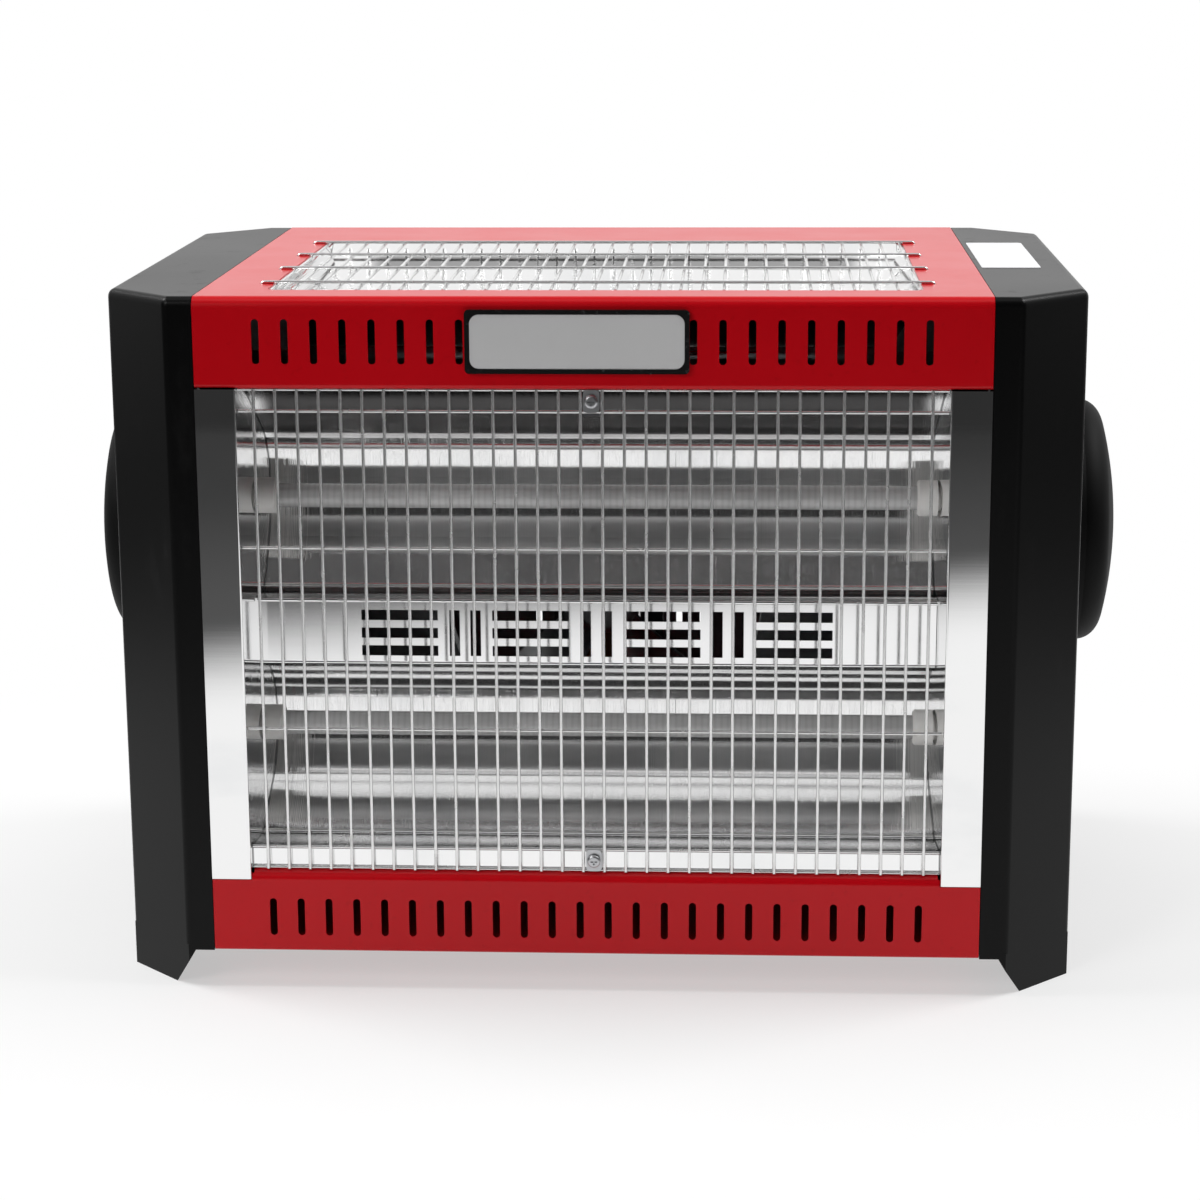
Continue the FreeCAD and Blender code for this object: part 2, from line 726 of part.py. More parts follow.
def rocker(z):
    px = SIDE + POCKET_FLOOR + PIVOT_RISE
    high = math.radians(ROCKER_CROWN)
    low = math.asin(ROCKER_SINK / ROCKER_RADIUS)

    def at(angle, radius=ROCKER_RADIUS):
        return Vector(px + radius * math.sin(angle), radius * math.cos(angle), z - ROCKER_WIDE / 2)

    flip = math.pi
    dip = Vector(px + ROCKER_DIP, 0, z - ROCKER_WIDE / 2)
    edges = [
        Part.Arc(at(-low), at((high - low) / 2), at(high)).toShape(),
        Part.makeLine(at(high), dip),
        Part.makeLine(dip, at(flip - high)),
        Part.Arc(at(flip - high), at(flip - (high - low) / 2), at(flip + low)).toShape(),
        Part.makeLine(at(flip + low), at(-low)),
    ]
    paddle = Part.Face(Part.Wire(edges)).extrude(Z_AXIS * ROCKER_WIDE)
    reach = ROCKER_WIDE / 2 + GAP + PIVOT - FIT
    pin = rod(Vector(px, 0, z - reach), Z_AXIS, PIVOT, 2 * reach)
    shape = paddle.fuse(pin).removeSplitter()
    shape.rotate(Vector(px, 0, z), Z_AXIS, ROCKER_TILT)
    return shape


def trim():
    out = HALF - GAP
    y0 = FRONT - TRIM
    y1 = FRONT + CHEEK_DEPTH
    line = [(out, y0), (INNER, y0), (INNER - CHEEK_FLARE, y1), (PLATE_IN, y1)]
    strip = bent_sheet(
        line, [TRIM_BEND] * 2, -TRIM, on_xy(TRIM_LOW), Z_AXIS * (HOOD_EDGE - GAP - TRIM_LOW)
    )
    cuts = []
    for z in (UPPER_TUBE_Z, LOWER_TUBE_Z):
        cuts.append(rod(Vector(HALF / 2, TUBE_Y, z), X_AXIS, CERAMIC_NECK / 2 + FIT, HALF / 2))
    return strip.cut(cuts)


def between_cheeks(shape):
    # trims the long sheets to the flared end walls
    wide = INNER - GAP / 2
    lean = CHEEK_FLARE / CHEEK_DEPTH
    deep = 2 * CHEEK_DEPTH
    narrow = wide - lean * deep
    plan = [(-wide, FRONT), (wide, FRONT), (narrow, FRONT + deep), (-narrow, FRONT + deep)]
    return shape.common(prism(plan, 0, on_xy(0), Z_AXIS * HEIGHT))


def upper_reflector():
    back = FRONT + TROUGH_DEPTH
    line = [
        (FRONT + TROUGH_FRONT, HOOD_EDGE),
        (FRONT + TROUGH_FRONT + TROUGH_SEAT, HOOD_EDGE),
        (back, HOOD_EDGE - UPPER_TALL * UPPER_SLOPE_SHARE),
        (back, UPPER_LIP_Z + UPPER_TALL * UPPER_RISE_SHARE),
        (FRONT + UPPER_FLOOR, UPPER_LIP_Z),
        (FRONT + UPPER_LIP, UPPER_LIP_Z),
    ]
    bends = [TROUGH_BEND, TROUGH_ROUND, FLOOR_ROUND, FLOOR_BEND]
    return between_cheeks(bent_sheet(line, bends, -BRIGHT, on_yz(-HALF), X_AXIS * WIDTH))


def lower_reflector():
    back = FRONT + TROUGH_DEPTH
    lip = FRONT + GRILLE_BACK + BRIGHT
    line = [
        (FRONT + VENT_FRONT, LOWER_TOP_Z),
        (FRONT + VENT_BACK, LOWER_TOP_Z),
        (back, LOWER_TOP_Z - LOWER_TALL * LOWER_SLOPE_SHARE),
        (back, LOWER_EDGE_Z + LOWER_TALL * LOWER_RISE_SHARE),
        (FRONT + LOWER_FLOOR, LOWER_EDGE_Z - BRIGHT),
        (lip, LOWER_EDGE_Z - BRIGHT),
        (lip, BASE_TOP),
    ]
    bends = [TROUGH_BEND, TROUGH_ROUND, FLOOR_ROUND, FLOOR_BEND, BRIGHT]
    sheet = bent_sheet(line, bends, -BRIGHT, on_yz(-HALF), X_AXIS * WIDTH)
    hole = rod(Vector(0, FRONT, clip_rows()[0]), Y_AXIS, SHANK / 2 + FIT, HOOD_RETURN)
    return between_cheeks(sheet).cut(hole)


def vent_plate():
    face = FRONT + VENT_FRONT
    back = FRONT + VENT_BACK
    line = [(back, UPPER_LIP_Z), (face, UPPER_LIP_Z), (face, LOWER_TOP_Z), (back, LOWER_TOP_Z)]
    plate = between_cheeks(bent_sheet(line, [2 * BRIGHT] * 2, BRIGHT, on_yz(-HALF), X_AXIS * WIDTH))
    cuts = []
    low = VENT_MID - VENT_TALL / 2
    step = (VENT_TALL + VENT_BAR_GAP) / VENT_ROWS

    def opening(x, z, wide, tall):
        return box(x - wide / 2, face - BRIGHT, z, x + wide / 2, face + 2 * BRIGHT, z + tall)

    for i in range(VENT_GROUPS):
        x = (i - (VENT_GROUPS - 1) / 2) * VENT_PERIOD
        for j in range(VENT_ROWS):
            cuts.append(opening(x, low + j * step, VENT_GROUP, step - VENT_BAR_GAP))
    for i in range(VENT_GROUPS - 1):
        x = (i - (VENT_GROUPS - 2) / 2) * VENT_PERIOD
        for s in (-VENT_BAR, VENT_BAR):
            cuts.append(opening(x + s, low, VENT_BAR, VENT_TALL))
    return plate.cut(cuts)


def top_trough(grow, lift):
    y0 = FRONT + OPEN_FRONT - grow
    y1 = FRONT + OPEN_BACK + grow
    low = TOP_UNDER - TOP_TROUGH - grow
    high = TOP_UNDER + lift
    lean = TOP_SLANT / TOP_TROUGH
    over = lean * lift
    along = prism(
        [(y0 - over, high), (y0 + TOP_SLANT + lean * grow, low),
         (y1 - TOP_SLANT - lean * grow, low), (y1 + over, high)],
        [0, TOP_ROUND + grow, TOP_ROUND + grow, 0],
        on_yz(-HALF), X_AXIS * WIDTH,
    )
    tilt = TOP_END_SLANT / TOP_TROUGH
    x = OPEN_HALF + grow
    across = prism(
        [(-x - tilt * lift, high), (-x + TOP_END_SLANT + tilt * grow, low),
         (x - TOP_END_SLANT - tilt * grow, low), (x + tilt * lift, high)],
        0, on_xz(FRONT), Y_AXIS * DEPTH,
    )
    return along.common(across)


def top_reflector():
    shell = top_trough(BRIGHT, 0)
    x = OPEN_HALF + TOP_FLANGE
    flange = box(-x, FRONT + OPEN_FRONT - TOP_FLANGE, TOP_UNDER - BRIGHT,
                 x, FRONT + OPEN_BACK + TOP_FLANGE, TOP_UNDER)
    shape = shell.fuse(flange).cut(top_trough(0, SHEET))
    hole = rod(Vector(-HALF, TOP_TUBE_Y, TOP_TUBE_Z), X_AXIS, CERAMIC_NECK / 2 + FIT, WIDTH)
    return shape.cut(hole).removeSplitter()


def bar_rows():
    high = HOOD_EDGE - WIRE_R
    low = BASE_TOP + WIRE_R
    return [low, low + BAR_STEP, BAR_LOW_Z, BAR_HIGH_Z, high - BAR_STEP, high]


def clip_rows():
    rows = bar_rows()
    return [(rows[0] + rows[1]) / 2, (rows[-1] + rows[-2]) / 2]


def front_grille():
    wires = []
    y = FRONT + GRILLE_FACE + WIRE_R
    low = BASE_TOP + GAP
    for i in range(FRONT_WIRES):
        x = (i - (FRONT_WIRES - 1) / 2) * WIRE_PITCH
        wires.append(rod(Vector(x, y, low), Z_AXIS, WIRE_R, HOOD_EDGE - GAP - low))
    half = INNER - 2 * GAP
    for z in bar_rows():
        wires.append(rod(Vector(-half, y + WIRE, z), X_AXIS, WIRE_R, 2 * half))
    return group(wires)


def top_long_rows():
    first = FRONT + OPEN_FRONT + TOP_LONG_FIRST
    return [first + i * TOP_LONG_PITCH for i in range(TOP_LONG)]


def top_grille():
    wires = []
    z = HEIGHT + WIRE_R
    turn = WIRE
    for y in top_long_rows():
        x = TOP_LONG_HALF
        legs = [Vector(-x, y, z - TOP_WIRE_DROP), Vector(-x, y, z - turn)]
        k = turn * (1 - math.sqrt(0.5))
        path = [
            Part.makeLine(legs[0], legs[1]),
            Part.Arc(legs[1], Vector(-x + k, y, z - k), Vector(-x + turn, y, z)).toShape(),
            Part.makeLine(Vector(-x + turn, y, z), Vector(x - turn, y, z)),
            Part.Arc(Vector(x - turn, y, z), Vector(x - k, y, z - k), Vector(x, y, z - turn)).toShape(),
            Part.makeLine(Vector(x, y, z - turn), Vector(x, y, z - TOP_WIRE_DROP)),
        ]
        section = Part.Wire(Part.makeCircle(WIRE_R, legs[0], Z_AXIS))
        wires.append(Part.Wire(path).makePipeShell([section], True, True))
    y0 = FRONT + OPEN_FRONT + 2 * WIRE
    y1 = FRONT + OPEN_BACK - 2 * WIRE
    for i in range(TOP_WIRES):
        x = (i - (TOP_WIRES - 1) / 2) * WIRE_PITCH
        wires.append(rod(Vector(x, y0, z - WIRE), Y_AXIS, WIRE_R, y1 - y0))
    return group(wires)


def grille_clips():
    clips = []
    y = FRONT + GRILLE_FACE + WIRE - SHEET
    for z in clip_rows():
        w = CLIP_WIDTH / 2
        h = CLIP_HEIGHT / 2 - CLIP_MARGIN
        plate = prism(rect(-w, z - h, w, z + h), EDGE_BEND, on_xz(y), Y_AXIS * SHEET)
        clips.append(plate.cut(rod(Vector(0, y - SHEET, z), Y_AXIS, SHANK / 2 + FIT, 3 * SHEET)))
    return group(clips)


def grille_screws():
    y = FRONT + GRILLE_FACE + WIRE - SHEET
    return group([screw(Vector(0, y, z), Y_AXIS, 2 * SHANK) for z in clip_rows()])


def quartz_tube(y, z, half):
    start = Vector(-half, y, z)
    return tube(start, X_AXIS, TUBE / 2, TUBE_BORE / 2, 2 * half)


def coil(y, z, half, tail):
    core = rod(Vector(-half, y, z), X_AXIS, COIL / 2, 2 * half)
    reach = half + TUBE_SEAT + tail
    return core.fuse(rod(Vector(-reach, y, z), X_AXIS, PIN / 2, 2 * reach)).removeSplitter()


def ceramic(y, z, seat, tail):
    # head butts on the wall at x = seat, neck goes through the wall
    head = rod(Vector(seat - CERAMIC_LENGTH, y, z), X_AXIS, CERAMIC / 2, CERAMIC_LENGTH)
    rim = [e for e in head.Edges if e.Length > CERAMIC and e.CenterOfMass.x < seat - CERAMIC_LENGTH / 2]
    head = head.makeChamfer(CERAMIC_EDGE, rim)
    neck = rod(Vector(seat, y, z), X_AXIS, CERAMIC_NECK / 2, tail)
    bore = rod(Vector(seat - CERAMIC_LENGTH, y, z), X_AXIS, TUBE / 2 + FIT, TUBE_SEAT)
    pin = rod(Vector(seat - CERAMIC_LENGTH, y, z), X_AXIS, PIN / 2 + FIT, CERAMIC_LENGTH + tail)
    return head.fuse(neck).cut([bore, pin]).removeSplitter()


def element_nuts(spots):
    nuts = []
    for y, z, x in spots:
        corner = NUT / math.sqrt(3)
        turns = [math.pi / 3 * k for k in range(6)]
        corners = [(y + corner * math.cos(a), z + corner * math.sin(a)) for a in turns]
        nut = prism(corners, 0, on_yz(x), X_AXIS * NUT_HEIGHT)
        nut = nut.cut(rod(Vector(x, y, z), X_AXIS, PIN / 2 + FIT, NUT_HEIGHT))
        nuts += [nut, mirror_x(nut)]
    return group(nuts)


def fan_shroud():
    y = FRONT + SHROUD_DEPTH
    low = FOOT + SHEET
    high = TOP_UNDER - TOP_TROUGH - 4 * BRIGHT
    flange = STRAP_FOOT
    x = PLATE_IN
    line = [(x, y + flange), (x, y), (-x, y), (-x, y + flange)]
    plate = bent_sheet(line, [EDGE_BEND] * 2, -SHEET, on_xy(low), Z_AXIS * (high - low))
    hub = Vector(0, y, FAN_Z)
    collar = tube(hub, Y_AXIS, SHROUD_RADIUS, SHROUD_RADIUS - SHEET, SHROUD_COLLAR)
    hole = rod(hub - Y_AXIS, Y_AXIS, SHROUD_RADIUS - SHEET, SHROUD_COLLAR)
    return plate.cut(hole).fuse(collar).removeSplitter()


def blade_section(radius, chord, angle):
    lean = math.radians(angle)
    half = chord / 2
    camber = chord * BLADE_CAMBER
    across = (math.cos(lean), math.sin(lean))
    normal = (-math.sin(lean), math.cos(lean))
    y = FRONT + SHROUD_DEPTH + SHROUD_COLLAR / 2

    def at(u, v):
        px = across[0] * u + normal[0] * v
        py = across[1] * u + normal[1] * v
        return Vector(px, y + py, FAN_Z + radius)

    t = BLADE_THICK / 2
    edges = [
        Part.Arc(at(-half, t), at(0, camber + t), at(half, t)).toShape(),
        Part.makeLine(at(half, t), at(half, -t)),
        Part.Arc(at(half, -t), at(0, camber - t), at(-half, -t)).toShape(),
        Part.makeLine(at(-half, -t), at(-half, t)),
    ]
    return Part.Wire(edges)


def impeller():
    y = FRONT + SHROUD_DEPTH + SHROUD_COLLAR / 2
    hub = rod(Vector(0, y - HUB_LENGTH / 2, FAN_Z), Y_AXIS, HUB_RADIUS, HUB_LENGTH)
    nose = [e for e in hub.Edges if e.Length > 4 * HUB_RADIUS and e.CenterOfMass.y < y]
    hub = hub.makeFillet(EDGE_BEND * 2, nose)
    sections = []
    reach = IMPELLER_RADIUS - BLADE_ROOT
    for i in range(BLADE_STEPS + 1):
        t = i / BLADE_STEPS
        sections.append(
            blade_section(
                BLADE_ROOT + reach * t,
                BLADE_ROOT_CHORD + (BLADE_TIP_CHORD - BLADE_ROOT_CHORD) * t,
                BLADE_ROOT_ANGLE + (BLADE_TIP_ANGLE - BLADE_ROOT_ANGLE) * t,
            )
        )
    blade = Part.makeLoft(sections, True)
    rim = rod(Vector(0, y - DEPTH / 4, FAN_Z), Y_AXIS, IMPELLER_RADIUS - GAP, DEPTH / 2)
    blade = blade.common(rim)
    blades = []
    for i in range(BLADES):
        turned = blade.copy()
        turned.rotate(Vector(0, y, FAN_Z), Y_AXIS, 360 / BLADES * i)
        blades.append(turned)
    pocket = rod(Vector(0, y - HUB_LENGTH / 2 + EDGE_BEND, FAN_Z), Y_AXIS, SHAFT / 2 + FIT, HUB_LENGTH)
    hollow = Vector(0, y - HUB_LENGTH / 2 + 3 * EDGE_BEND, FAN_Z)
    cup = tube(hollow, Y_AXIS, HUB_RADIUS - 2 * EDGE_BEND, SHAFT, HUB_LENGTH)
    return hub.fuse(blades).cut([pocket, cup]).removeSplitter()


def motor_y():
    return FRONT + STRAP_DEPTH + STRAP + BEARING_STAND + STATOR_STACK / 2


def motor_bracket():
    y0 = FRONT + SHROUD_DEPTH + SHEET
    y1 = FRONT + STRAP_DEPTH + STRAP
    a = STRAP_HALF
    foot = y0 + STRAP
    end = a + STRAP_FOOT
    line = [(-end, foot), (-a, foot), (-a, y1), (a, y1), (a, foot), (end, foot)]
    z = FAN_Z - STRAP_WIDTH / 2
    strap = bent_sheet(line, [EDGE_BEND] * 4, -STRAP, on_xy(z), Z_AXIS * STRAP_WIDTH)
    cuts = [rod(Vector(0, y0, FAN_Z), Y_AXIS, BEARING_BOSS + GAP, DEPTH / 4)]
    for s in (-1, 1):
        cuts.append(rod(Vector(s * MOTOR_SCREW_X, y0, FAN_Z), Y_AXIS, SHANK / 2 + FIT, DEPTH / 4))
    return strap.cut(cuts)


def motor_stator():
    y = motor_y() - STATOR_STACK / 2
    stack = prism(rect(-STATOR_HALF, FAN_Z - STATOR_BELOW, STATOR_HALF, FAN_Z + STATOR_ABOVE),
                  EDGE_BEND, on_xz(y), Y_AXIS * STATOR_STACK)
    window = box(-WINDOW_HALF, y, FAN_Z - STATOR_BELOW + STATOR_LEG,
                 WINDOW_HALF, y + STATOR_STACK, FAN_Z - WINDOW_TOP)
    cuts = [window, rod(Vector(0, y, FAN_Z), Y_AXIS, ROTOR / 2 + AIR_GAP, STATOR_STACK)]
    for s in (-1, 1):
        cuts.append(rod(Vector(s * MOTOR_SCREW_X, y, FAN_Z), Y_AXIS, SHANK / 2 + FIT, STATOR_STACK))
    return stack.cut(cuts)


def motor_winding():
    y = motor_y()
    low = FAN_Z - STATOR_BELOW
    top = low + STATOR_LEG
    half = STATOR_STACK / 2
    wall = COIL_WALL
    outer = prism(
        rect(y - half - wall, low - wall, y + half + wall, top + wall), EDGE_BEND * 2,
        on_yz(-COIL_HALF), X_AXIS * (2 * COIL_HALF),
    )
    return outer.cut(box(-COIL_HALF, y - half, low, COIL_HALF, y + half, top))


def motor_rotor():
    start = Vector(0, motor_y() - STATOR_STACK / 2, FAN_Z)
    return tube(start, Y_AXIS, ROTOR / 2, SHAFT / 2 + FIT, STATOR_STACK)


def motor_shaft():
    y0 = FRONT + SHROUD_DEPTH + SHROUD_COLLAR / 2 - HUB_LENGTH / 2 + EDGE_BEND
    y1 = motor_y() + STATOR_STACK / 2 + BEARING_STAND + BEARING_PLATE
    return rod(Vector(0, y0, FAN_Z), Y_AXIS, SHAFT / 2, y1 - y0)


def bearing(way):
    # bridge on the stator face with the bush in the middle
    face = motor_y() + way * STATOR_STACK / 2
    y1 = face + way * BEARING_STAND
    inner = MOTOR_SCREW_X - BEARING_BOSS
    line = [(-STATOR_HALF, face), (-STATOR_HALF, y1), (STATOR_HALF, y1), (STATOR_HALF, face),
            (inner, face), (inner, y1 - way * BEARING_PLATE),
            (-inner, y1 - way * BEARING_PLATE), (-inner, face)]
    z = FAN_Z - BEARING_HEIGHT / 2
    bridge = prism(line, 0, on_xy(z), Z_AXIS * BEARING_HEIGHT)
    start = Vector(0, y1 - way * (BEARING_STAND - BEARING_PLATE), FAN_Z)
    bush = rod(start, Y_AXIS * way, BEARING_BOSS, BEARING_STAND - BEARING_PLATE)
    axle = Vector(0, face - way * BEARING_STAND, FAN_Z)
    bore = rod(axle, Y_AXIS * way, SHAFT / 2 + FIT, 4 * BEARING_STAND)
    cuts = [bore]
    for s in (-1, 1):
        hole = Vector(s * MOTOR_SCREW_X, face - way, FAN_Z)
        cuts.append(rod(hole, Y_AXIS * way, SHANK / 2 + FIT, 2 * BEARING_STAND))
    return bridge.fuse(bush).cut(cuts).removeSplitter()


def motor_screws():
    end = motor_y() + STATOR_STACK / 2 + BEARING_STAND
    length = end - FRONT - STRAP_DEPTH + STRAP
    spots = [Vector(side * MOTOR_SCREW_X, end, FAN_Z) for side in (-1, 1)]
    return group([screw(spot, -Y_AXIS, length) for spot in spots])


def badge_frame():
    y = FRONT - BADGE_THICK
    w = BADGE_WIDTH / 2
    h = BADGE_HEIGHT / 2
    plate = prism(rect(BADGE_X - w, BADGE_Z - h, BADGE_X + w, BADGE_Z + h), BADGE_ROUND,
                  on_xz(y), Y_AXIS * BADGE_THICK)
    return plate.cut(badge_outline(0, y, FACE_THICK + FACE_SINK))


def badge_outline(inset, y, deep):
    w = BADGE_WIDTH / 2 - BADGE_BORDER - inset
    h = BADGE_HEIGHT / 2 - BADGE_BORDER - inset
    return prism(rect(BADGE_X - w, BADGE_Z - h, BADGE_X + w, BADGE_Z + h), FACE_ROUND - inset,
                 on_xz(y), Y_AXIS * deep)


def badge_face():
    return badge_outline(GAP / 2, FRONT - BADGE_THICK + FACE_SINK, FACE_THICK)


def sticker():
    x = HALF + STICKER_IN
    y = FRONT + STICKER_FRONT
    return prism(rect(x, y, x + STICKER_WIDTH, y + STICKER_LENGTH), EDGE_BEND,
                 on_xy(HEIGHT), Z_AXIS * STICKER_THICK)


def cord_gland():
    start = Vector(GLAND_X, BACK - SHEET, GLAND_Z)
    flange = rod(start, Y_AXIS, GLAND_FLANGE / 2, SHEET + HEAD_RISE)
    rim = [e for e in flange.Edges if e.Length > GLAND_FLANGE and e.CenterOfMass.y > BACK]
    flange = flange.makeFillet(HEAD_RISE / 2, rim)
    barrel = rod(start, -Y_AXIS, GLAND_BARREL / 2, GLAND_DEEP)
    bore = rod(start - Y_AXIS * GLAND_DEEP, Y_AXIS, GLAND_BORE / 2, 2 * GLAND_DEEP)
    return flange.fuse(barrel).cut(bore).removeSplitter()


def terminal_block():
    z = FOOT + SHEET
    x = GLAND_X - BLOCK_LONG / 2
    y = BACK - 4 * BLOCK_WIDE
    block = box(x, y, z, x + BLOCK_LONG, y + BLOCK_WIDE, z + BLOCK_TALL)
    cuts = []
    pole = BLOCK_LONG / BLOCK_POLES
    for i in range(BLOCK_POLES):
        px = x + (i + 1 / 2) * pole
        cuts.append(rod(Vector(px, y, z + BLOCK_TALL / 2), Y_AXIS, BLOCK_WIRE_HOLE / 2, BLOCK_WIDE))
        for py in (y + BLOCK_WIDE / 4, y + BLOCK_WIDE * 3 / 4):
            cuts.append(rod(Vector(px, py, z + BLOCK_TALL / 2), Z_AXIS, BLOCK_SCREW_HOLE / 2, BLOCK_TALL))
    for i in range(1, BLOCK_POLES):
        px = x + i * pole
        cuts.append(box(px - SHEET / 2, y, z + BLOCK_TALL - BLOCK_NOTCH,
                        px + SHEET / 2, y + BLOCK_WIDE, z + BLOCK_TALL))
    return block.cut(cuts)


def thermal_cutout():
    start = Vector(CUTOUT_X, FRONT + TROUGH_DEPTH, UPPER_TUBE_Z)
    cup = rod(start, Y_AXIS, CUTOUT_RADIUS, CUTOUT_TALL)
    ear = prism(
        rect(CUTOUT_X - 2 * CUTOUT_RADIUS, UPPER_TUBE_Z - CUTOUT_RADIUS / 2,
             CUTOUT_X + 2 * CUTOUT_RADIUS, UPPER_TUBE_Z + CUTOUT_RADIUS / 2),
        EDGE_BEND, on_xz(start.y), Y_AXIS * SHEET,
    )
    tabs = []
    for s in (-1, 1):
        x = CUTOUT_X + s * CUTOUT_RADIUS / 2
        tabs.append(box(x - SHEET / 2, start.y + CUTOUT_TALL - SHEET, UPPER_TUBE_Z - SPADE / 2,
                        x + SHEET / 2, start.y + CUTOUT_TALL + SPADE_LONG, UPPER_TUBE_Z + SPADE / 2))
    return cup.fuse([ear] + tabs).removeSplitter()


def cap_screws():
    screws = []
    for y, z in boss_spots():
        one = screw(Vector(PLATE_IN, y, z), X_AXIS, CAP_SCREW - SHANK)
        screws += [one, mirror_x(one)]
    return group(screws)


FRONT_SEAT = INNER - CHEEK_FLARE * (TUBE_DEPTH + CERAMIC / 2) / CHEEK_DEPTH - FIT
TOP_SEAT = OPEN_HALF - TOP_END_SLANT
ELEMENTS = [
    ("upper", TUBE_Y, UPPER_TUBE_Z, FRONT_SEAT, CERAMIC_TAIL),
    ("lower", TUBE_Y, LOWER_TUBE_Z, FRONT_SEAT, CERAMIC_TAIL),
    ("top", TOP_TUBE_Y, TOP_TUBE_Z, TOP_SEAT, TOP_TAIL),
]
SWITCH_NAMES = ["upper", "lower", "top", "fan"]


def nodes():
    cap = end_cap()
    plate = chassis_plate()
    side = trim()
    made = {
        "hood": hood(),
        "base_pan": base_pan(),
        "rear_panel": rear_panel(),
        "left_chassis_plate": mirror_x(plate),
        "right_chassis_plate": plate,
        "left_end_cap": mirror_x(cap),
        "right_end_cap": cap,
        "left_dome": mirror_x(dome()),
        "right_dome": switch_dome(),
        "left_trim": mirror_x(side),
        "right_trim": side,
        "badge_frame": badge_frame(),
        "badge_face": badge_face(),
        "sticker": sticker(),
        "upper_reflector": upper_reflector(),
        "lower_reflector": lower_reflector(),
        "top_reflector": top_reflector(),
        "vent_plate": vent_plate(),
        "front_grille": front_grille(),
        "top_grille": top_grille(),
        "grille_clips": grille_clips(),
        "grille_screws": grille_screws(),
        "rear_screws": rear_screws(),
        "cap_screws": cap_screws(),
        "fan_shroud": fan_shroud(),
        "impeller": impeller(),
        "motor_bracket": motor_bracket(),
        "motor_stator": motor_stator(),
        "motor_winding": motor_winding(),
        "motor_rotor": motor_rotor(),
        "motor_shaft": motor_shaft(),
        "motor_front_bearing": bearing(-1),
        "motor_rear_bearing": bearing(1),
        "motor_screws": motor_screws(),
        "cord_gland": cord_gland(),
        "terminal_block": terminal_block(),
        "thermal_cutout": thermal_cutout(),
    }
    spots = []
    for name, y, z, seat, tail in ELEMENTS:
        half = seat - CERAMIC_LENGTH + TUBE_SEAT - FIT
        made[name + "_tube"] = quartz_tube(y, z, half)
        made[name + "_coil"] = coil(y, z, half - TUBE_SEAT, CERAMIC_LENGTH - TUBE_SEAT + tail + PIN_TAIL)
        right = ceramic(y, z, seat, tail)
        made[name + "_right_ceramic"] = right
        made[name + "_left_ceramic"] = mirror_x(right)
        spots.append((y, z, seat + tail))
    made["element_nuts"] = element_nuts(spots)
    for name, z in zip(SWITCH_NAMES, switch_rows()):
        made[name + "_switch"] = switch_body(z)
        made[name + "_rocker"] = rocker(z)
    return made


os.makedirs("parts", exist_ok=True)
for name, shape in nodes().items():
    shape.exportStep("parts/" + name + ".step")
    print(name, len(shape.Solids), shape.isValid(), round(shape.Volume))
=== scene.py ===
import bmesh
import bpy
import json
import math
from mathutils import Matrix, Vector


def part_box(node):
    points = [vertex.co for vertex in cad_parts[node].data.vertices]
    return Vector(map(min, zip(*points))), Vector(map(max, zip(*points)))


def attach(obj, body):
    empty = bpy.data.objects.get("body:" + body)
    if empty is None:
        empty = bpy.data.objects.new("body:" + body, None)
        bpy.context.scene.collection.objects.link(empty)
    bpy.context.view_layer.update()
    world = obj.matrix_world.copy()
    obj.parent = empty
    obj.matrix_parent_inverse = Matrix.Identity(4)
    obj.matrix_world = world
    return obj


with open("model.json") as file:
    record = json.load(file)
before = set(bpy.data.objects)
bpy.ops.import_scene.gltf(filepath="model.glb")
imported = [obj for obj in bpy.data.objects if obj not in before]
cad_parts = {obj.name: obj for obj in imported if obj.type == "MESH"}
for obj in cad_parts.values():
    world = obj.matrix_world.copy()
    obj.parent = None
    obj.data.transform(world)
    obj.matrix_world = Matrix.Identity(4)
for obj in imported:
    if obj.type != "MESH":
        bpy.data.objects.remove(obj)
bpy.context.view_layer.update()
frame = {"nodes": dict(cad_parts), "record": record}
nodes = frame["nodes"]
scene = bpy.context.scene
scene.view_settings.view_transform = "Standard"

# Lengths in metres. A pair gives where a change over the surface starts and ends.
FRONT_FACE = -0.152
# Heights between which the hood's tab is painted dark grey as shade instead of red.
OVER_BASE = (0.20, 0.21)
UNDER_HOOD = (0.2880, 0.2890)
DOME_SEAT = (0.2270, 0.2285)
STRIP_EDGE = (0.1605, 0.1625)
SEAM_SLANT = 0.0606
SEAM_START = (0.16235, 0.16255)
SEAM_END = (0.16288, 0.16294)
# Painted shade: heights where the upper trough is darkened, then nearly black, towards its top,
# and the reach in X.
UPPER_SHADE_START = (0.2560, 0.2615)
UPPER_DARK_START = (0.2735, 0.2775)
UPPER_SHADE_REACH = (0.150, 0.160)
TOP_TROUGH = (0.2930, 0.2940)
# Painted shade: heights of the grey band painted on the top trough, and its reach in X.
TOP_SHADE_START = (0.3205, 0.3220)
TOP_SHADE_END = (0.3265, 0.3280)
TOP_SHADE_REACH = (0.120, 0.134)
HEATER_TURN = 0.0031
LAMINATION = 0.0005
STRAND = 0.0006
ROCKER_Z = 0.16625
ROCKER_HALF = 0.01125
MARK_PLACE = 0.0072
MARK_EDGE = (0.00028, 0.00036)
BAR_END = (0.0017, 0.0018)
RING_RADIUS = 0.0016
LIP_REACH = 0.006
LIP_SHEET = 0.0005
LIP_CLEAR = 0.00002
CURL_RADIUS = 0.0010
CURL_SWEEP = 290.0
CURL_STEPS = 40
CURL_HALF = 0.1606
SHARP_ANGLE = 40.0
FLOOR_LEFT, FLOOR_RIGHT = -2.0, 2.0
FLOOR_FRONT, FLOOR_BACK = -1.7, 2.2
PAPER_FRONT = 0.895
PAPER_SLANT = 0.45
PAPER_EDGE = (-0.14, 0.22)
